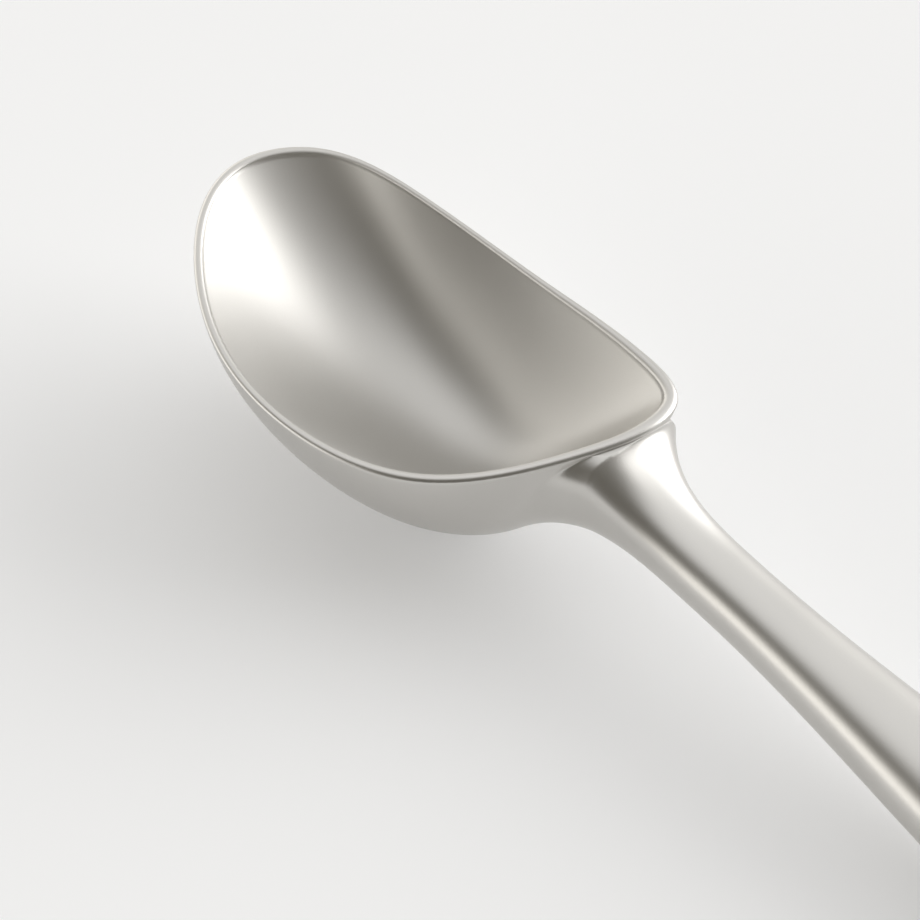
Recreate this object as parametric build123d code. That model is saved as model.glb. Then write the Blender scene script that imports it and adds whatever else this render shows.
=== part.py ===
from build123d import *
import os
from math import copysign, cos, hypot, pi, sin

# A rigid ice cream scoop of satin stainless steel, in millimetres.
# A deep, handed bowl is brazed to a hollow handle of two pressed shells, and a tie rod inside the handle
# pulls an end cap against them. Nothing moves.
# +Z is up, +X runs along the handle from the bowl to the butt, and +Y is the straight side of the rim.
# The origin is the middle of the small flat foot under the bowl, on the table.

# Bowl
bowl_length = 80.0
bowl_width = 47.5
bowl_height = 29.5
bowl_wall = 1.4
bowl_floor = 1.6
wall_fullness = 1.5
bottom_roundness = 2.0
foot_share = 0.2
lip_round_share = 0.42
bowl_levels = 7
rim_steps = 33

# Rim outline, counter-clockwise from the heel, as shares of bowl_length and bowl_width from the foot's middle
rim_shares = [
    (0.424, 0.263),
    (0.409, 0.382),
    (0.288, 0.447),
    (0.049, 0.430),
    (-0.271, 0.401),
    (-0.519, 0.267),
    (-0.572, 0.109),
    (-0.399, -0.360),
    (-0.0675, -0.551),
    (0.217, -0.4185),
    (0.389, 0.034),
]

# Ellipse that the outline turns into towards the foot: middle and half axes, as shares of the same sizes
round_middle_shares = (-0.066, -0.011)
round_half_shares = (0.504, 0.507)

# Handle, measured along X from the bowl's heel; its axis runs handle_side to +Y of the foot's middle
handle_side = 7.0
neck_length = 20.5
palm_distance = 92.0
shell_length = 118.0
cap_length = 9.0
neck_height = 18.6
waist_width = 11.2
waist_thickness = 9.6
palm_width = 19.6
palm_thickness = 13.4
butt_width = 17.2
butt_thickness = 10.8
shell_wall = 1.1
section_fullness = 2.3
section_steps = 16

# Flare of the neck: what it adds on each side at the heel, how fast it fades, and how deep the root goes inside
flare_top = 5.4
flare_bottom = 1.6
flare_belly_side = 2.6
flare_straight_side = 2.6
flare_top_power = 3.6
flare_side_power = 3.0
root_depth = 8.0
rim_drop = 0.5

# Stations of the handle's sections: shares of the neck, of the stretch to the palm and of the rest
neck_station_shares = [-0.15, 0.0, 0.15, 0.35, 0.6, 1.0]
grip_station_shares = [0.2, 0.4, 0.6, 0.8, 1.0]
butt_station_shares = [0.5, 1.0]

# Inside the handle
fit_gap = 0.12
core_length = 17.0
core_hole_depth = 12.0
rod_diameter = 4.0
pin_diameter = 2.0
pin_length = 7.0
spacer_length = 5.0
front_spacer_share = 0.42
rear_spacer_share = 0.76

# End cap and its gasket
gasket_thickness = 0.8
gasket_inset = 0.3
spigot_length = 6.0
rod_engagement = 5.0
cap_levels = 5
cap_end_share = 0.35
seat_depth = 0.25

overrun = 1.0

heel_x = bowl_length * max(x for x, y in rim_shares)
waist_x = heel_x + neck_length
palm_x = heel_x + palm_distance
shell_end_x = heel_x + shell_length
cap_start_x = shell_end_x + gasket_thickness
cap_end_x = cap_start_x + cap_length
root_x = heel_x - root_depth

# The axis falls straight from the neck to the butt, whose underside presses seat_depth into the table plane
butt_height = butt_thickness / 2 - seat_depth
axis_slope = (butt_height - neck_height) / shell_length


def axis_height(x):
    """Height of the handle's straight axis above the table at x."""
    return neck_height + axis_slope * (x - heel_x)


def eased(start, end, share):
    """Value between start and end on a half wave, level at both ends."""
    return start + (end - start) * sin(pi / 2 * min(max(share, 0), 1)) ** 2


def grip_half(x, waist, palm, butt):
    """Half of a size that goes from waist to palm to butt along the handle."""
    if x <= palm_x:
        return eased(waist, palm, (x - waist_x) / (palm_x - waist_x)) / 2
    return eased(palm, butt, (x - palm_x) / (shell_end_x - palm_x)) / 2


def section_halves(x):
    """Distances from the axis to the -Y side, the +Y side, the top and the bottom of the section at x."""
    half_width = grip_half(x, waist_width, palm_width, butt_width)
    half_thickness = grip_half(x, waist_thickness, palm_thickness, butt_thickness)
    near = min(max((waist_x - x) / neck_length, 0), 1)
    side_flare = near**flare_side_power
    top_limit = bowl_height - rim_drop - axis_height(x)
    return (
        half_width + flare_belly_side * side_flare,
        half_width + flare_straight_side * side_flare,
        min(half_thickness + flare_top * near**flare_top_power, top_limit),
        half_thickness + flare_bottom * side_flare,
    )


def section_face(x, inset, scale_share=1.0):
    """Section of the handle at x: a superellipse with its own reach on each side, from its lowest point."""
    belly, straight, top, bottom = section_halves(x)
    points = []
    for step in range(section_steps):
        angle = 2 * pi * step / section_steps - pi / 2
        across = copysign(abs(cos(angle)) ** (2 / section_fullness), cos(angle))
        up = copysign(abs(sin(angle)) ** (2 / section_fullness), sin(angle))
        y = across * ((straight if across > 0 else belly) - inset) * scale_share
        z = up * ((top if up > 0 else bottom) - inset) * scale_share
        points.append((x, handle_side + y, axis_height(x) + z))
    return make_face(Spline(*points, periodic=True))


def stations():
    """X of each section, from inside the bowl to the shells' end."""
    neck = [heel_x + share * neck_length for share in neck_station_shares]
    grip = [waist_x + share * (palm_x - waist_x) for share in grip_station_shares]
    butt = [palm_x + share * (shell_end_x - palm_x) for share in butt_station_shares]
    return [root_x] + neck + grip + butt


def handle_form(inset):
    """Solid handle, inset from its outer surface."""
    return loft([section_face(x, inset) for x in stations()])


def slice_of(form, start, end):
    """Stretch of a form between two x."""
    middle = (start + end) / 2
    block = Box(end - start, 2 * palm_width, 2 * bowl_height)
    return form & Pos(middle, handle_side, axis_height(middle)) * block


def on_axis(x):
    """Plane across the handle's axis at x, with its normal along the axis towards the butt."""
    return Plane(origin=(x, handle_side, axis_height(x)), x_dir=(0, 1, 0), z_dir=(1, 0, axis_slope))


def along_axis(start, end, diameter):
    """Round bar on the handle's axis between two x."""
    run = hypot(end - start, axis_height(end) - axis_height(start))
    return extrude(on_axis(start) * Circle(diameter / 2), amount=run)


def rim_outline(inset):
    """Points round the rim at even steps of its spline, each moved inwards by inset along its normal."""
    rim = Spline(*[(bowl_length * x, bowl_width * y) for x, y in rim_shares], periodic=True)
    points = []
    for step in range(rim_steps):
        along = rim.tangent_at(step / rim_steps)
        points.append(rim.position_at(step / rim_steps) + Vector(-along.Y, along.X) * inset)
    return points


def bowl_face(rim, inset, width_share, z):
    """Level face of the bowl at z, a share as wide as the rim: the rim's outline, turning into an ellipse."""
    middle = Vector(bowl_length * round_middle_shares[0], bowl_width * round_middle_shares[1])
    half_length = bowl_length * round_half_shares[0] - inset
    half_width = bowl_width * round_half_shares[1] - inset
    rim_likeness = width_share**2
    points = []
    for point in rim:
        spoke = point - middle
        bearing = spoke.normalized()
        round_spoke = bearing / hypot(bearing.X / half_length, bearing.Y / half_width)
        mixed = spoke * rim_likeness + round_spoke * (1 - rim_likeness)
        points.append(middle * width_share**2 + mixed * width_share + Vector(0, 0, z))
    return make_face(Spline(*points, periodic=True))


def bowl_form(inset, depth, above=0.0):
    """Solid bowl below the rim: levels as wide as (1 - depth^fullness)^(1 / roundness), down to a flat."""
    foot_depth_share = (1 - foot_share**bottom_roundness) ** (1 / wall_fullness)
    levels = [(1.0, bowl_height + above)] if above else []
    for level in range(bowl_levels + 1):
        depth_share = foot_depth_share * sin(pi / 2 * level / bowl_levels)
        width_share = (1 - depth_share**wall_fullness) ** (1 / bottom_roundness)
        levels.append((width_share, bowl_height - depth * depth_share / foot_depth_share))
    rim = rim_outline(inset)
    return loft([bowl_face(rim, inset, width_share, z) for width_share, z in levels])


def make_bowl():
    """Pressed bowl with a rounded lip and a small flat foot."""
    cavity = bowl_form(bowl_wall, bowl_height - bowl_floor, overrun)
    shell = bowl_form(0, bowl_height) - cavity
    lip = shell.edges().group_by(Axis.Z)[-1]
    return fillet(lip, lip_round_share * bowl_wall)


def table_block():
    """Block just under the table plane, which cuts the butt's flat seat."""
    return Pos(shell_end_x, handle_side, -overrun) * Box(shell_length, 2 * palm_width, 2 * overrun)


def make_tube(bowl_block):
    """Hollow handle, cut to the bowl's wall and flat where its butt meets the table."""
    return handle_form(0) - handle_form(shell_wall) - bowl_block - table_block()


def make_neck_core(hollow, bowl_block):
    """Solid core that fills the neck, brazed to the bowl's heel, bored for the rod and its cross pin."""
    core_end = heel_x + core_length
    core = slice_of(hollow, root_x - overrun, core_end) - bowl_block
    core -= along_axis(core_end - core_hole_depth, core_end + overrun, rod_diameter + fit_gap)
    return core - cross_pin(pin_diameter + fit_gap, pin_length + fit_gap)


def cross_pin(diameter, length):
    """Round pin across the rod, halfway down its hole in the core."""
    pin_x = heel_x + core_length - core_hole_depth / 2
    centre = Pos(pin_x, handle_side, axis_height(pin_x))
    return centre * Rot(90, 0, 0) * Cylinder(diameter / 2, length)


def make_tie_rod():
    """Rod from the neck core to the end cap, drilled for the cross pin."""
    start = heel_x + core_length - core_hole_depth + fit_gap
    rod = along_axis(start, cap_start_x + rod_engagement, rod_diameter)
    return rod - cross_pin(pin_diameter + fit_gap, palm_width)


def make_spacer(hollow, place_share):
    """Former that keeps the rod in the middle of the hollow handle."""
    start = waist_x + place_share * (shell_end_x - waist_x)
    end = start + spacer_length
    return slice_of(hollow, start, end) - along_axis(start - overrun, end + overrun, rod_diameter + fit_gap)


def butt_prism(inset, start, end):
    """Straight bar with the section of the shells' end, inset, between two x."""
    section = Pos(start - shell_end_x, 0, 0) * section_face(shell_end_x, inset)
    return extrude(section, amount=end - start, dir=(1, 0, 0))


def make_gasket():
    """Flat gasket between the shells' ends and the cap's shoulder."""
    hole = butt_prism(shell_wall, shell_end_x - overrun, cap_start_x + overrun)
    return butt_prism(gasket_inset, shell_end_x, cap_start_x) - hole


def make_end_cap(hollow):
    """Domed cap with a spigot inside the shells, bored for the rod's end."""
    dome_faces = []
    for level in range(cap_levels + 1):
        reach_share = level / cap_levels
        scale_share = (1 - (1 - cap_end_share**2) * reach_share**2) ** 0.5
        face = section_face(shell_end_x, 0, scale_share)
        dome_faces.append(Pos(cap_start_x - shell_end_x + reach_share * cap_length, 0, 0) * face)
    spigot = slice_of(hollow, shell_end_x - spigot_length, shell_end_x)
    neck = butt_prism(shell_wall + fit_gap, shell_end_x, cap_start_x)
    hole_end = cap_start_x + rod_engagement + fit_gap
    hole = along_axis(shell_end_x - spigot_length - overrun, hole_end, rod_diameter + fit_gap)
    return loft(dome_faces) - table_block() + neck + spigot - hole


bowl_block = bowl_form(0, bowl_height)
hollow = handle_form(shell_wall + fit_gap)
tube = make_tube(bowl_block)
parting_plane = Plane((heel_x, handle_side, neck_height), x_dir=(1, 0, axis_slope), z_dir=(-axis_slope, 0, 1))
nodes = {
    "bowl": make_bowl(),
    "handle_upper_shell": split(tube, parting_plane, Keep.TOP),
    "handle_lower_shell": split(tube, parting_plane, Keep.BOTTOM),
    "neck_core": make_neck_core(hollow, bowl_block),
    "tie_rod": make_tie_rod(),
    "rod_cross_pin": cross_pin(pin_diameter, pin_length),
    "front_rod_spacer": make_spacer(hollow, front_spacer_share),
    "rear_rod_spacer": make_spacer(hollow, rear_spacer_share),
    "cap_gasket": make_gasket(),
    "end_cap": make_end_cap(hollow),
}

os.makedirs("parts", exist_ok=True)
for name, solid in nodes.items():
    export_step(solid, f"parts/{name}.step")
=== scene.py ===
import math

import bpy
import numpy as np
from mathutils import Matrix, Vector


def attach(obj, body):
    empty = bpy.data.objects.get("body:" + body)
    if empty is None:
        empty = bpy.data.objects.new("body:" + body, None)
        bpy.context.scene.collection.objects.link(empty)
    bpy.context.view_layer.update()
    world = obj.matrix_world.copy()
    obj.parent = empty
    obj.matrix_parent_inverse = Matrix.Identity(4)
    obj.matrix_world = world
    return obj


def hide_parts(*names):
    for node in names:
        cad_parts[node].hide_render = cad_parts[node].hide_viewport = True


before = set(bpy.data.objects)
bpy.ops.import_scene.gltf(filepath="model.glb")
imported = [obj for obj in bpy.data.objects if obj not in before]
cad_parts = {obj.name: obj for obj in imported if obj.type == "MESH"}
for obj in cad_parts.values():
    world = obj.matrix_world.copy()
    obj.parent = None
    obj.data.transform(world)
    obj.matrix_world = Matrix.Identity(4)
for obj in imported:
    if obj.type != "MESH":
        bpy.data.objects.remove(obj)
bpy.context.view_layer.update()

# Sizes are in metres, in the frame of the solids.
# +X runs along the handle, and +Y is the straight side of the rim.

# Bowl, outside as in the solids
BOWL_LENGTH = 0.0800
BOWL_WIDTH = 0.0475
BOWL_HEIGHT = 0.0295
WALL_FULLNESS = 1.5
BOTTOM_ROUNDNESS = 2.0
RIM_LIKENESS = 2.0
FOOT_SHARE = 0.2

# The inside is shallower than in the solids and slopes more gently, to a lowest point nearer the heel
INSIDE_FLOOR = 0.0095
INSIDE_ROUNDNESS = 2.0
INSIDE_LOWEST = np.array([0.004, 0.002])

# Rim outline, counter-clockwise from the heel, as shares of the bowl's length and width
RIM_SHARES = np.array([
    (0.424, 0.263), (0.409, 0.382), (0.288, 0.447), (0.049, 0.430), (-0.271, 0.401), (-0.519, 0.267),
    (-0.572, 0.109), (-0.399, -0.360), (-0.0675, -0.551), (0.217, -0.4185), (0.389, 0.034),
])

# Ellipse that the outline turns into towards the foot, as shares of the same sizes
ROUND_MIDDLE = np.array([-0.066, -0.011]) * (BOWL_LENGTH, BOWL_WIDTH)
ROUND_HALF = np.array([0.504, 0.507]) * (BOWL_LENGTH, BOWL_WIDTH)

# The lip is thin round the tip and thickest at a share of the rim's way, near the heel
LIP_THIN = 0.00090
LIP_THICK = 0.00165
LIP_THICK_AT = 0.95
LIP_FADE = 2.5

# Handle, as in the solids; its axis runs to +Y of the foot's middle
HANDLE_SIDE = 0.0070
NECK_LENGTH = 0.0205
PALM_DISTANCE = 0.0920
SHELL_LENGTH = 0.1180
NECK_HEIGHT = 0.0186
WAIST_WIDTH, WAIST_THICKNESS = 0.0112, 0.0096
PALM_WIDTH, PALM_THICKNESS = 0.0196, 0.0134
BUTT_WIDTH, BUTT_THICKNESS = 0.0172, 0.0108
SHELL_WALL = 0.0011
SECTION_FULLNESS = 2.3
SEAT_DEPTH = 0.00025
GASKET_THICKNESS = 0.0008
CAP_LENGTH = 0.0090
CAP_END_SHARE = 0.35
CAP_EDGE = 0.0003

# Neck: what it adds to the waist at the heel on each side, and the power by which that grows
FLARE_STRAIGHT, POWER_STRAIGHT = 0.0054, 3.8
FLARE_BELLY, POWER_BELLY = 0.0024, 3.8
FLARE_TOP, POWER_TOP = 0.0054, 2.7
FLARE_BOTTOM, POWER_BOTTOM = 0.0013, 3.9
LIFT, POWER_LIFT = 0.0042, 2.5
ROOT_FULLNESS = 2.6
ROOT_WAY = 1.5
ROOT_START_X = 0.0050
ROOT_SINK = 0.00005
ROOT_BLEND = 0.0014

# The shells are thin at the root and reach their full wall at a share of their rows
ROOT_EDGE = 0.0003
FULL_WALL_AT = 0.25

# Grids; the rows of the neck lie closer together at its root, by a power
RIM_STEPS = 360
WALL_ROWS = 84
LIP_ROWS = 14
SECTION_STEPS = 128
NECK_ROWS = 64
NECK_ROW_POWER = 1.4
TRIM_STEPS = 600
GRIP_ROWS = 90
CAP_ROWS = 24
SHARP_ANGLE = math.radians(40)

# Satin steel: noise scales are per metre, and the brush lines are long in the first direction
STEEL_LEVEL = 0.60
STEEL_WARMTH = 0.022
SATIN_ROUGHNESS = 0.34
INSIDE_BOWL_ROUGHNESS = 0.46
GRAIN_SCALE = 3800.0
CLOUD_SCALE = 45.0
BRUSH_SCALE = (160.0, 5200.0, 5200.0)
BRUSH_SHARE = 0.35
CLOUD_CONTRAST = 0.04
ROUGHNESS_SPREAD = 0.10
SATIN_BUMP = 0.12
SATIN_BUMP_HEIGHT = 0.00004
BOWL_BRUSH_TURN = math.radians(40)

# Hidden pieces: turned steel, and moulded plastic or rubber
TURNED_LEVELS = (0.42, 0.58)
TURNED_ROUGHNESS, TURNED_ROUGHNESS_SPREAD = 0.45, 0.2
TURNED_RING_SCALE = 600.0
TURNED_CLOUD_SCALE = 220.0
TURNED_BUMP, TURNED_BUMP_HEIGHT = 0.2, 0.00005
MOTTLE_SCALE = 300.0
MOTTLE_ROUGHNESS = 0.15
MOULD_GRAIN_SCALE = 2600.0
MOULD_BUMP, MOULD_BUMP_HEIGHT = 0.15, 0.00004

# Floor, and the share of its own colour that it keeps in shadow for the camera and for reflections
FLOOR_HALF = 4.0
FLOOR_LEVEL = 0.93
FLOOR_LIFT = 0.28

# Studio: a band of angles fades in between its first two, in degrees, and out between its last two
WINDOW_TURN = (28, 42, 76, 112)
WINDOW_RISE = (-8, 6, 22, 60)
HORIZON_FADE = (18, 42)

# Studio: an aim, and the dot products with it at which a light begins and is full
BACK_WALL = ((-0.35, 0.75, 0.30), 0.10, 0.70)
FRONT_LEFT = ((-0.89, -0.45, 0.0), 0.25, 0.75)
CEILING = ((-0.14, 0.26, 0.95), 0.70, 0.97)

# Studio: level and warmth of each light, and the level of the backdrop that the camera sees
ROOM_LIGHT = (0.16, 0.06)
BACK_WALL_LIGHT = (0.78, 0.01)
HORIZON_LIGHT = (1.8, 0.02)
WINDOW_LEVEL = 4.8
CEILING_LEVEL = 1.05
BACKDROP_LEVEL = 0.905

# Camera, from the photograph: its angles, and the point where its middle ray meets the rim's plane
CAMERA_AZIMUTH = math.radians(47)
CAMERA_ELEVATION = math.radians(50)
CAMERA_TARGET = Vector((0.01963, -0.01223, BOWL_HEIGHT))
CAMERA_DISTANCE = 0.600
IMAGE_SIDE_PIXELS = 920
FOCAL_PIXELS = 4260
SENSOR_MM = 36.0
CAMERA_CLIP = (0.01, 50.0)

# Worked out from the sizes above
HEEL_X = BOWL_LENGTH * RIM_SHARES[:, 0].max()
WAIST_X = HEEL_X + NECK_LENGTH
PALM_X = HEEL_X + PALM_DISTANCE
SHELL_END_X = HEEL_X + SHELL_LENGTH
CAP_START_X = SHELL_END_X + GASKET_THICKNESS
AXIS_SLOPE = (BUTT_THICKNESS / 2 - SEAT_DEPTH - NECK_HEIGHT) / SHELL_LENGTH


def closed_spline(knots, shares):
    """Cubic spline through a closed ring of knots, by chord length.

    Gives its points and tangents at shares of its way.
    """
    count = len(knots)
    steps = np.roll(knots, -1, 0) - knots
    chord = np.linalg.norm(steps, axis=1)
    before = np.roll(chord, 1)
    here = np.arange(count)
    system = np.zeros((count, count))
    system[here, here] = 2 * (chord + before)
    system[here, here - 1] = before
    system[here, (here + 1) % count] = chord
    slopes = steps / chord[:, None]
    bend = np.linalg.solve(system, 6 * (slopes - np.roll(slopes, 1, 0)))
    ends = np.concatenate([[0], np.cumsum(chord)])
    way = np.mod(shares, 1) * ends[-1]
    span = np.clip(np.searchsorted(ends, way, side="right") - 1, 0, count - 1)
    after = (span + 1) % count
    length = chord[span][..., None]
    past = way[..., None] - ends[span][..., None]
    left = length - past
    start = knots[span] / length - bend[span] * length / 6
    end = knots[after] / length - bend[after] * length / 6
    curved = (bend[span] * left**3 + bend[after] * past**3) / (6 * length)
    points = curved + start * left + end * past
    tangents = (bend[after] * past**2 - bend[span] * left**2) / (2 * length) - start + end
    return points, tangents


def unit(vectors):
    """Vectors at length one; a zero vector stays zero."""
    return vectors / np.maximum(np.linalg.norm(vectors, axis=-1, keepdims=True), 1e-12)


def rim_line(shares, inset=0.0):
    """Rim outline at shares of its length from the heel, moved inwards along its normal."""
    points, tangents = closed_spline(RIM_SHARES * (BOWL_LENGTH, BOWL_WIDTH), shares)
    along = unit(tangents)
    inwards = np.stack([-along[..., 1], along[..., 0]], -1)
    return points + inwards * np.asarray(inset)[..., None]


def outer_width(height):
    """Width of the bowl's outside at a height, as a share of the rim's.

    It is (1 - depth^fullness)^(1 / roundness), where depth is a share that ends at the foot's width.
    """
    foot_depth = (1 - FOOT_SHARE**BOTTOM_ROUNDNESS) ** (1 / WALL_FULLNESS)
    depth = foot_depth * (1 - height / BOWL_HEIGHT)
    return (1 - depth**WALL_FULLNESS) ** (1 / BOTTOM_ROUNDNESS)


def inner_width(height):
    """Width of the bowl's inside at a height, as a share of the rim's: (1 - depth)^(1 / roundness)."""
    depth = (BOWL_HEIGHT - height) / (BOWL_HEIGHT - INSIDE_FLOOR)
    return (1 - np.minimum(depth, 1)) ** (1 / INSIDE_ROUNDNESS)


def round_reach(bearing, inset=0.0):
    """Distance from the middle of the bowl's ellipse to its line along unit bearings."""
    half = ROUND_HALF - np.asarray(inset)[..., None]
    return 1 / np.linalg.norm(bearing / half, axis=-1)


def wall(shares, height, width, inset=0.0, lowest=(0.0, 0.0)):
    """Bowl wall at shares of the rim, heights and widths.

    As it narrows, its outline turns from the rim into an ellipse, by its width to the power of its
    likeness to the rim, and its middle moves over its lowest point.
    """
    width = width[..., None]
    middle = ROUND_MIDDLE * width**2 + np.asarray(lowest) * (1 - width**2)
    spoke = rim_line(shares, inset) - ROUND_MIDDLE
    bearing = unit(spoke)
    round_spoke = bearing * round_reach(bearing, inset)[..., None]
    rim_share = width**RIM_LIKENESS
    outline = middle + width * (spoke * rim_share + round_spoke * (1 - rim_share))
    return np.concatenate([outline, height[..., None]], -1)


def beyond_wall(points):
    """Distance of points beyond the bowl's outer wall at their height, and their bearing from its middle."""
    width = outer_width(np.clip(points[..., 2], 0, BOWL_HEIGHT))
    spoke = points[..., :2] - ROUND_MIDDLE * width[..., None] ** 2
    bearing = unit(spoke)
    rim = rim_line(np.arange(RIM_STEPS) / RIM_STEPS) - ROUND_MIDDLE
    turn, rim_turn = (np.arctan2(line[..., 1], line[..., 0]) for line in (spoke, rim))
    rim_reach = np.interp(turn, rim_turn, np.linalg.norm(rim, axis=1), period=2 * np.pi)
    rim_share = width**RIM_LIKENESS
    reach = width * (rim_reach * rim_share + round_reach(bearing) * (1 - rim_share))
    return np.linalg.norm(spoke, axis=-1) - reach, bearing


def bowl_grid():
    """Closed bowl, rows by columns: foot, outer wall, half-round lip and inner wall.

    Its poles are the middle of the foot and the lowest point of the inside, where the inner wall closes.
    """
    shares = np.arange(RIM_STEPS) / RIM_STEPS
    towards_heel = (1 + np.cos(2 * np.pi * (shares - LIP_THICK_AT))) / 2
    lip = LIP_THIN + (LIP_THICK - LIP_THIN) * towards_heel**LIP_FADE
    radius = lip[None] / 2
    down = np.sin(np.linspace(0, np.pi / 2, WALL_ROWS))[:, None]
    up = down[::-1]
    outer_height = (BOWL_HEIGHT - radius) * (1 - up)
    outer_wall = wall(shares, outer_height, outer_width(outer_height))
    inner_height = INSIDE_FLOOR + (BOWL_HEIGHT - radius - INSIDE_FLOOR) * (1 - down)
    inner_wall = wall(shares, inner_height, inner_width(inner_height), lip, INSIDE_LOWEST)
    turn = np.linspace(0, np.pi, LIP_ROWS + 2)[1:-1, None, None]
    middle = (outer_wall[-1] + inner_wall[0]) / 2
    across = (outer_wall[-1] - inner_wall[0]) / 2
    lip_round = middle + across * np.cos(turn) + radius[..., None] * np.sin(turn) * (0, 0, 1)
    foot = outer_wall[:1] * (0, 0, 1)
    return np.concatenate([foot, outer_wall, lip_round, inner_wall])


def superellipse(angle, fullness):
    """Unit superellipse: (across, up) at each angle."""
    across = np.sign(np.cos(angle)) * np.abs(np.cos(angle)) ** (2 / fullness)
    up = np.sign(np.sin(angle)) * np.abs(np.sin(angle)) ** (2 / fullness)
    return across, up


def ring_angles():
    """Angles of the points round one section of the handle, from its +Y side."""
    return 2 * np.pi * np.arange(SECTION_STEPS) / SECTION_STEPS


def axis_height(x):
    """Height of the handle's straight axis at x."""
    return NECK_HEIGHT + AXIS_SLOPE * (x - HEEL_X)


def eased(start, end, share):
    """Value between start and end on a half wave, level at both ends."""
    return start + (end - start) * np.sin(np.pi / 2 * np.clip(share, 0, 1)) ** 2


def grip_half(x, waist, palm, butt):
    """Half of a size that goes from waist to palm to butt along the handle."""
    to_palm = eased(waist, palm, (x - WAIST_X) / (PALM_X - WAIST_X))
    to_butt = eased(palm, butt, (x - PALM_X) / (SHELL_END_X - PALM_X))
    return np.where(x <= PALM_X, to_palm, to_butt) / 2


def section(x, angle, scale=1.0, inset=0.0):
    """Section of the handle at x: a superellipse round the axis, flat where it would go under the table."""
    across, up = superellipse(angle, SECTION_FULLNESS)
    y = across * (grip_half(x, WAIST_WIDTH, PALM_WIDTH, BUTT_WIDTH) - inset) * scale
    z = up * (grip_half(x, WAIST_THICKNESS, PALM_THICKNESS, BUTT_THICKNESS) - inset) * scale
    return np.stack([x + 0 * y, HANDLE_SIDE + y, np.maximum(axis_height(x) + z, 0)], -1)


def neck_section(x, angle):
    """Section of the neck at x: the waist's superellipse with a flare on each side, its widest line lifted.

    The flares grow from the waist to the heel, and on the belly side and below go on inside the bowl.
    """
    way = (WAIST_X - x) / NECK_LENGTH
    near, far = np.minimum(way, 1), np.minimum(way, ROOT_WAY)
    across, up = superellipse(angle, eased(SECTION_FULLNESS, ROOT_FULLNESS, near))
    side = np.where(across > 0, FLARE_STRAIGHT * near**POWER_STRAIGHT, FLARE_BELLY * far**POWER_BELLY)
    lift = LIFT * near**POWER_LIFT
    rise = np.where(up > 0, FLARE_TOP * near**POWER_TOP - lift, FLARE_BOTTOM * far**POWER_BOTTOM + lift)
    y = HANDLE_SIDE + across * (WAIST_WIDTH / 2 + side)
    z = axis_height(x) + lift + up * (WAIST_THICKNESS / 2 + rise)
    return np.stack([x, y, np.clip(z, 0, BOWL_HEIGHT - LIP_THICK / 2)], -1)


def neck_rows(angle):
    """Neck from the bowl to the waist: each column of points starts where it comes out of the bowl's wall.

    Near the wall the neck is drawn onto it, by gap * blend / (gap + blend), and leaves along the wall.
    """
    columns = np.arange(len(angle))
    x = np.linspace(ROOT_START_X, WAIST_X, TRIM_STEPS)
    beyond, _ = beyond_wall(neck_section(*np.meshgrid(x, angle, indexing="ij")))
    beyond = beyond + ROOT_SINK
    last_inside = TRIM_STEPS - 1 - np.argmax(beyond[::-1] < 0, axis=0)
    depth, clear = beyond[last_inside, columns], beyond[last_inside + 1, columns]
    start = x[last_inside] + (x[1] - x[0]) * depth / (depth - clear)
    share = np.linspace(0, 1, NECK_ROWS)[:, None] ** NECK_ROW_POWER
    rows_x = start + (WAIST_X - start) * share
    rows = neck_section(rows_x, np.broadcast_to(angle, rows_x.shape))
    gap, bearing = beyond_wall(rows)
    gap = np.maximum(gap, 0)
    pull = gap * ROOT_BLEND / (gap + ROOT_BLEND) * eased(1, 0, share)
    rows[..., :2] -= bearing * pull[..., None]
    return rows


def handle_grid():
    """Outer surface of the handle: rows from the bowl to the butt, columns round from the +Y side."""
    angle = ring_angles()
    x = np.linspace(WAIST_X, SHELL_END_X, GRIP_ROWS + 1)[1:, None]
    grip = section(np.repeat(x, SECTION_STEPS, 1), angle[None])
    return np.concatenate([neck_rows(angle), grip])


def grid_normals(grid):
    """Unit normals of a grid whose columns close on themselves, from the cross product of its tangents."""
    along = np.gradient(grid, axis=0)
    around = np.roll(grid, -1, 1) - np.roll(grid, 1, 1)
    return unit(np.cross(around, along))


def new_mesh(name, points, faces, normals=None):
    """Smooth mesh object from an array of points and a list of faces, with face corner normals if given."""
    mesh = bpy.data.meshes.new(name)
    mesh.from_pydata(points.tolist(), [], faces)
    mesh.polygons.foreach_set("use_smooth", np.ones(len(faces), bool))
    if normals is not None:
        mesh.set_sharp_from_angle(angle=SHARP_ANGLE)
        mesh.normals_split_custom_set(normals.reshape(-1, 3).tolist())
    mesh.validate()
    mesh.update()
    piece = bpy.data.objects.new(name, mesh)
    bpy.context.scene.collection.objects.link(piece)
    return piece


def closed_grid(name, grid):
    """Piece from a grid whose first and last rows are poles, each merged into one point."""
    rows, columns = grid.shape[:2]
    points = np.concatenate([grid[0, :1], grid[1:-1].reshape(-1, 3), grid[-1, :1]])
    number = 1 + np.arange((rows - 2) * columns).reshape(rows - 2, columns)
    after = np.roll(number, -1, 1)
    body = np.stack([number[:-1], after[:-1], after[1:], number[1:]], -1).reshape(-1, 4)
    first = np.stack([np.zeros(columns, int), after[0], number[0]], -1)
    last = np.stack([number[-1], after[-1], np.full(columns, len(points) - 1)], -1)
    return new_mesh(name, points, body.tolist() + first.tolist() + last.tolist())


def mark_inside(bowl):
    """Marks the points of the bowl's inner wall, which follow its foot, outer wall and half of its lip."""
    inside = np.arange(len(bowl.data.vertices)) > RIM_STEPS * (WALL_ROWS + LIP_ROWS / 2)
    attribute = bowl.data.attributes.new("inside", "FLOAT", "POINT")
    attribute.data.foreach_set("value", inside.astype(np.float32))


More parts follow.
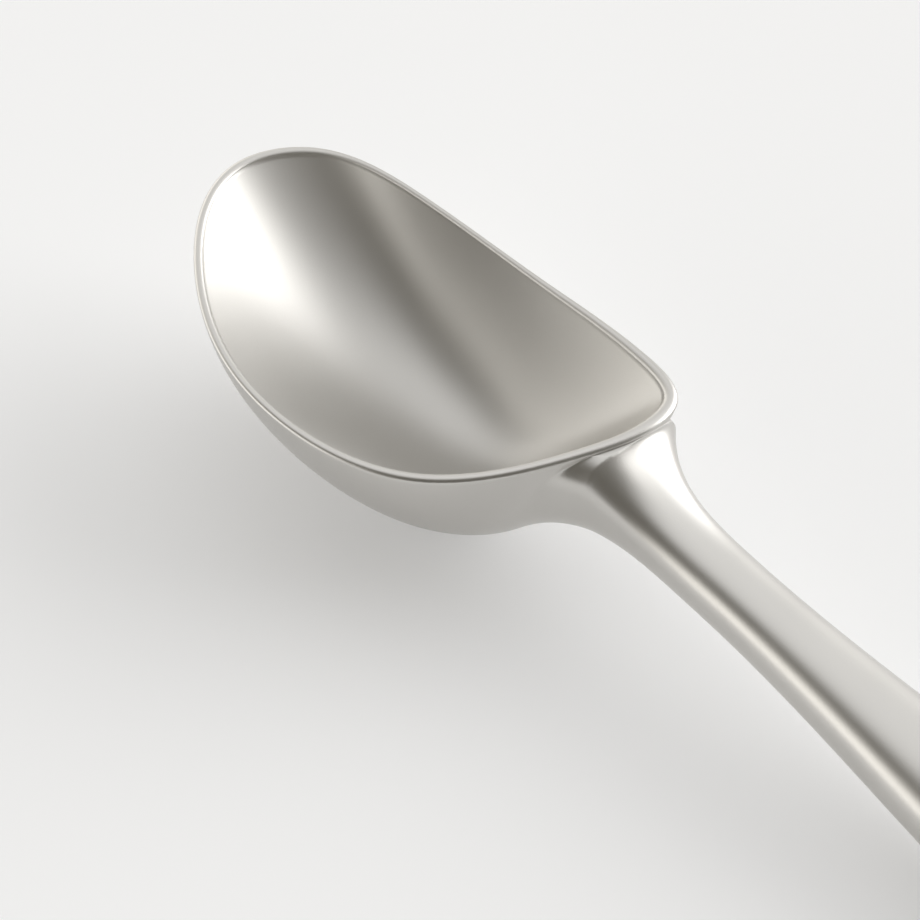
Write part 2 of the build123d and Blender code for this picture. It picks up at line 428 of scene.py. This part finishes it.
def half_shell(name, outer, normals, thickness):
    """Half of the handle as a closed shell.

    It has an outer sheet, a lining one thickness inside it, and strips between. The outer sheet keeps the
    normals of the whole handle, so that the halves meet without a visible edge; a zero normal elsewhere
    leaves the mesh's own.
    """
    rows, columns = outer.shape[:2]
    inner = outer - normals * thickness
    points = np.concatenate([outer.reshape(-1, 3), inner.reshape(-1, 3)])
    number = np.arange(rows * columns).reshape(rows, columns)
    sheet = np.stack([number[:-1, :-1], number[:-1, 1:], number[1:, 1:], number[1:, :-1]], -1).reshape(-1, 4)
    lining = sheet[:, ::-1] + rows * columns
    edge = np.concatenate([number[0, ::-1], number[1:, 0], number[-1, 1:], number[-2:0:-1, -1]])
    following = np.roll(edge, -1)
    strip = np.stack([edge, following, following + rows * columns, edge + rows * columns], -1)
    faces = np.concatenate([sheet, lining, strip])
    corner_normals = np.zeros((len(faces), 4, 3))
    corner_normals[: len(sheet)] = normals.reshape(-1, 3)[sheet]
    return new_mesh(name, points, faces.tolist(), corner_normals)


def make_handle_shells():
    """Upper and lower shells, split at the widest line of the sections."""
    grid = handle_grid()
    normals = grid_normals(grid)
    share = np.linspace(0, 1, NECK_ROWS + GRIP_ROWS)[:, None, None]
    thickness = ROOT_EDGE + (SHELL_WALL - ROOT_EDGE) * np.clip(share / FULL_WALL_AT, 0, 1)
    half = SECTION_STEPS // 2
    top = np.arange(half + 1)
    bottom = (top + half) % SECTION_STEPS
    upper = half_shell("handle_upper_skin", grid[:, top], normals[:, top], thickness)
    lower = half_shell("handle_lower_skin", grid[:, bottom], normals[:, bottom], thickness)
    return upper, lower


def make_end_cap():
    """Domed cap: the butt's section, shrinking on a quarter of an ellipse towards a small flat end."""
    angle = ring_angles()[None]
    reach = np.sin(np.linspace(0, np.pi / 2, CAP_ROWS))[:, None]
    scale = np.sqrt(1 - (1 - CAP_END_SHARE**2) * reach**2)
    butt = np.full((1, SECTION_STEPS), SHELL_END_X)
    along = np.array([1, 0, 0])
    to_cap = along * (CAP_START_X - SHELL_END_X)
    front_pole = section(butt, angle, 0.0) + to_cap
    front_edge = section(butt, angle, 1.0, CAP_EDGE) + to_cap
    shift = CAP_EDGE + reach * (CAP_LENGTH - CAP_EDGE)
    dome = section(butt, angle, scale) + to_cap + along * shift[..., None]
    end_pole = section(butt, angle, 0.0) + to_cap + along * CAP_LENGTH
    return closed_grid("end_cap_skin", np.concatenate([front_pole, front_edge, dome, end_pole])[::-1])


class Value:
    """One output of a shader node. Arithmetic on it adds Math nodes to the same graph."""

    def __init__(self, graph, socket):
        self.graph = graph
        self.socket = socket

    def __add__(self, other):
        return self.graph.math("ADD", self, other)

    def __radd__(self, other):
        return self.graph.math("ADD", other, self)

    def __sub__(self, other):
        return self.graph.math("SUBTRACT", self, other)

    def __rsub__(self, other):
        return self.graph.math("SUBTRACT", other, self)

    def __mul__(self, other):
        return self.graph.math("MULTIPLY", self, other)

    def __rmul__(self, other):
        return self.graph.math("MULTIPLY", other, self)


class Graph:
    """Node tree of a material or of the world."""

    def __init__(self, owner):
        owner.use_nodes = True
        self.tree = owner.node_tree
        self.tree.nodes.clear()

    def node(self, kind, settings=None, sockets=None, output=0):
        """New node of a kind, with settings and values or links for its sockets; gives one output."""
        made = self.tree.nodes.new(kind)
        for name, setting in (settings or {}).items():
            setattr(made, name, setting)
        for name, value in (sockets or {}).items():
            if isinstance(value, Value):
                self.tree.links.new(value.socket, made.inputs[name])
            else:
                made.inputs[name].default_value = value
        return Value(self, made.outputs[output]) if len(made.outputs) else made

    def math(self, operation, *values):
        """Math node on values or numbers."""
        return self.node("ShaderNodeMath", {"operation": operation}, dict(enumerate(values)))

    def smooth(self, value, low, high):
        """Smooth step of a value: 0 below low, 1 above high."""
        sockets = {"Value": value, "From Min": low, "From Max": high}
        return self.node("ShaderNodeMapRange", {"interpolation_type": "SMOOTHSTEP"}, sockets)

    def band(self, angle, fade_in, full, fade_out, end):
        """1 between two fades of an angle, which are given in degrees, and 0 outside them."""
        fade_in, full, fade_out, end = map(math.radians, (fade_in, full, fade_out, end))
        return self.smooth(angle, fade_in, full) * (1 - self.smooth(angle, fade_out, end))

    def facing(self, direction, aim, low, high):
        """How far a direction faces an aim: 0 below a low dot product, 1 above a high one."""
        sockets = {0: direction, 1: aim}
        dot = self.node("ShaderNodeVectorMath", {"operation": "DOT_PRODUCT"}, sockets, "Value")
        return self.smooth(dot, low, high)

    def noise(self, place, scale, detail=2.0):
        """Noise at a place."""
        return self.node("ShaderNodeTexNoise", None, {"Vector": place, "Scale": scale, "Detail": detail})

    def bump(self, height, strength, distance):
        """Normal that a height field tilts."""
        sockets = {"Strength": strength, "Distance": distance, "Height": height}
        return self.node("ShaderNodeBump", None, sockets)

    def mix(self, share, first, second):
        """Colour between two colours."""
        sockets = {"Factor": share, 6: first, 7: second}
        return self.node("ShaderNodeMix", {"data_type": "RGBA"}, sockets, 2)


def grey(level, warmth=0.0):
    """Grey of a level, a little warm."""
    return (level * (1 + warmth), level, level * (1 - 2 * warmth), 1.0)


def new_material(name):
    """New material, its graph and the object's own coordinates in it."""
    material = bpy.data.materials.new(name)
    graph = Graph(material)
    return material, graph, graph.node("ShaderNodeTexCoord", output="Object")


def surface(graph, **sockets):
    """Ends a material's graph in a Principled shader; socket names are written with underscores."""
    named = {name.replace("_", " "): value for name, value in sockets.items()}
    shader = graph.node("ShaderNodeBsdfPrincipled", None, named)
    graph.node("ShaderNodeOutputMaterial", None, {"Surface": shader})


def satin_steel(name, inside_roughness, brush_turn):
    """Blasted and lightly brushed steel: fine grain, faint brush lines and soft cloudy patches."""
    material, graph, place = new_material(name)
    grain = graph.noise(place, GRAIN_SCALE)
    cloud = graph.noise(place, CLOUD_SCALE, 3.0)
    mapping = {"Vector": place, "Rotation": (0, 0, brush_turn), "Scale": BRUSH_SCALE}
    brush = graph.noise(graph.node("ShaderNodeMapping", None, mapping), 1.0)
    inside = graph.node("ShaderNodeAttribute", {"attribute_name": "inside"}, output="Fac")
    dull = grey(STEEL_LEVEL * (1 - CLOUD_CONTRAST), STEEL_WARMTH)
    bright = grey(STEEL_LEVEL * (1 + CLOUD_CONTRAST), STEEL_WARMTH)
    roughness = (SATIN_ROUGHNESS + (inside_roughness - SATIN_ROUGHNESS) * inside
                 + ROUGHNESS_SPREAD * (cloud - 0.5) + ROUGHNESS_SPREAD * (grain - 0.5))
    surface(graph, Base_Color=graph.mix(cloud, dull, bright), Metallic=1.0, Roughness=roughness,
            Normal=graph.bump(grain + BRUSH_SHARE * brush, SATIN_BUMP, SATIN_BUMP_HEIGHT))
    return material


def inner_steel():
    """Unfinished steel inside the handle: dull, with the rings of a turned bar."""
    material, graph, place = new_material("inner_steel")
    sockets = {"Vector": place, "Scale": TURNED_RING_SCALE}
    rings = graph.node("ShaderNodeTexWave", {"bands_direction": "X"}, sockets)
    cloud = graph.noise(place, TURNED_CLOUD_SCALE, 4.0)
    surface(graph, Base_Color=graph.mix(cloud, *map(grey, TURNED_LEVELS)), Metallic=1.0,
            Roughness=TURNED_ROUGHNESS + TURNED_ROUGHNESS_SPREAD * cloud,
            Normal=graph.bump(rings + cloud, TURNED_BUMP, TURNED_BUMP_HEIGHT))
    return material


def moulded(name, dark, light, roughness):
    """Moulded plastic or rubber with a fine grain and faint mottling."""
    material, graph, place = new_material(name)
    mottle = graph.noise(place, MOTTLE_SCALE, 3.0)
    grain = graph.noise(place, MOULD_GRAIN_SCALE)
    surface(graph, Base_Color=graph.mix(mottle, dark, light),
            Roughness=roughness + MOTTLE_ROUGHNESS * mottle,
            Normal=graph.bump(grain, MOULD_BUMP, MOULD_BUMP_HEIGHT))
    return material


def make_floor():
    """Wide pale floor at the table plane, whose shadows are lifted for the camera and for reflections."""
    corners = FLOOR_HALF * np.array([(-1, -1, 0), (1, -1, 0), (1, 1, 0), (-1, 1, 0)])
    floor = new_mesh("floor", corners, [(0, 1, 2, 3)])
    material = bpy.data.materials.new("floor_paper")
    graph = Graph(material)
    camera = graph.node("ShaderNodeLightPath", output="Is Camera Ray")
    glossy = graph.node("ShaderNodeLightPath", output="Is Glossy Ray")
    paper = graph.node("ShaderNodeBsdfDiffuse", None, {"Color": grey(FLOOR_LEVEL)})
    glow = graph.node("ShaderNodeEmission", None, {"Color": grey(FLOOR_LEVEL), "Strength": 1.0})
    lift = FLOOR_LIFT * (camera + glossy)
    shader = graph.node("ShaderNodeMixShader", None, {0: lift, 1: paper, 2: glow})
    graph.node("ShaderNodeOutputMaterial", None, {"Surface": shader})
    floor.data.materials.append(material)


def make_world():
    """Studio round the object, as its steel mirrors it.

    A bright window stands low at the right, a pale wall behind and a soft ceiling above. The rest is a
    dark room, with a light band along the horizon at the front left. The camera sees a plain backdrop.
    """
    world = bpy.data.worlds.new("studio")
    bpy.context.scene.world = world
    graph = Graph(world)
    direction = graph.node("ShaderNodeTexCoord", output="Generated")
    x, y, z = (graph.node("ShaderNodeSeparateXYZ", None, {"Vector": direction}, axis) for axis in "XYZ")
    turn = graph.math("ARCTAN2", y, x)
    rise = graph.math("ARCSINE", z)
    window = graph.band(turn, *WINDOW_TURN) * graph.band(rise, *WINDOW_RISE)
    horizon = 1 - graph.smooth(rise, *map(math.radians, HORIZON_FADE))
    light = graph.mix(graph.facing(direction, *BACK_WALL), grey(*ROOM_LIGHT), grey(*BACK_WALL_LIGHT))
    light = graph.mix(horizon * graph.facing(direction, *FRONT_LEFT), light, grey(*HORIZON_LIGHT))
    light = graph.mix(window, light, grey(WINDOW_LEVEL))
    light = graph.mix(graph.facing(direction, *CEILING), light, grey(CEILING_LEVEL))
    camera = graph.node("ShaderNodeLightPath", output="Is Camera Ray")
    seen = graph.mix(camera, light, grey(BACKDROP_LEVEL))
    shader = graph.node("ShaderNodeBackground", None, {"Color": seen, "Strength": 1.0})
    graph.node("ShaderNodeOutputWorld", None, {"Surface": shader})


def make_camera():
    """Camera at the photograph's viewing angle."""
    level = math.cos(CAMERA_ELEVATION)
    back = Vector((math.sin(CAMERA_AZIMUTH) * level, -math.cos(CAMERA_AZIMUTH) * level,
                   math.sin(CAMERA_ELEVATION)))
    camera = bpy.data.objects.new("camera", bpy.data.cameras.new("camera"))
    camera.data.sensor_width = SENSOR_MM
    camera.data.lens = FOCAL_PIXELS / IMAGE_SIDE_PIXELS * SENSOR_MM
    camera.data.clip_start, camera.data.clip_end = CAMERA_CLIP
    camera.location = CAMERA_TARGET + back * CAMERA_DISTANCE
    camera.rotation_mode = "QUATERNION"
    camera.rotation_quaternion = (-back).to_track_quat("-Z", "Y")
    bpy.context.scene.collection.objects.link(camera)
    bpy.context.scene.camera = camera


def dress(piece, material, slot, *nodes):
    """Gives a new piece its material, and lets it stand for its CAD nodes on the one body. The slot argument
    is not used.
    """
    piece.data.materials.append(material)
    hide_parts(*nodes)
    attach(piece, "root")


bpy.context.scene.view_settings.view_transform = "Standard"

bowl_steel = satin_steel("bowl_steel", INSIDE_BOWL_ROUGHNESS, BOWL_BRUSH_TURN)
handle_steel = satin_steel("handle_steel", SATIN_ROUGHNESS, 0.0)

bowl_skin = closed_grid("bowl_skin", bowl_grid())
mark_inside(bowl_skin)
dress(bowl_skin, bowl_steel, "bowl_steel", "bowl")
upper_shell, lower_shell = make_handle_shells()
dress(upper_shell, handle_steel, "handle_steel", "handle_upper_shell")
dress(lower_shell, handle_steel, "handle_steel", "handle_lower_shell")
dress(make_end_cap(), handle_steel, "handle_steel", "end_cap")

turned_steel = inner_steel()
spacer_plastic = moulded("spacer_plastic", grey(0.74, 0.01), grey(0.86, 0.01), 0.45)
gasket_rubber = moulded("gasket_rubber", grey(0.03), grey(0.06), 0.7)
finishes = {
    "neck_core": turned_steel, "tie_rod": turned_steel, "rod_cross_pin": turned_steel,
    "front_rod_spacer": spacer_plastic, "rear_rod_spacer": spacer_plastic, "cap_gasket": gasket_rubber,
}
for node, material in finishes.items():
    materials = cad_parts[node].data.materials
    materials.clear()
    materials.append(material)

make_floor()
make_world()
make_camera()
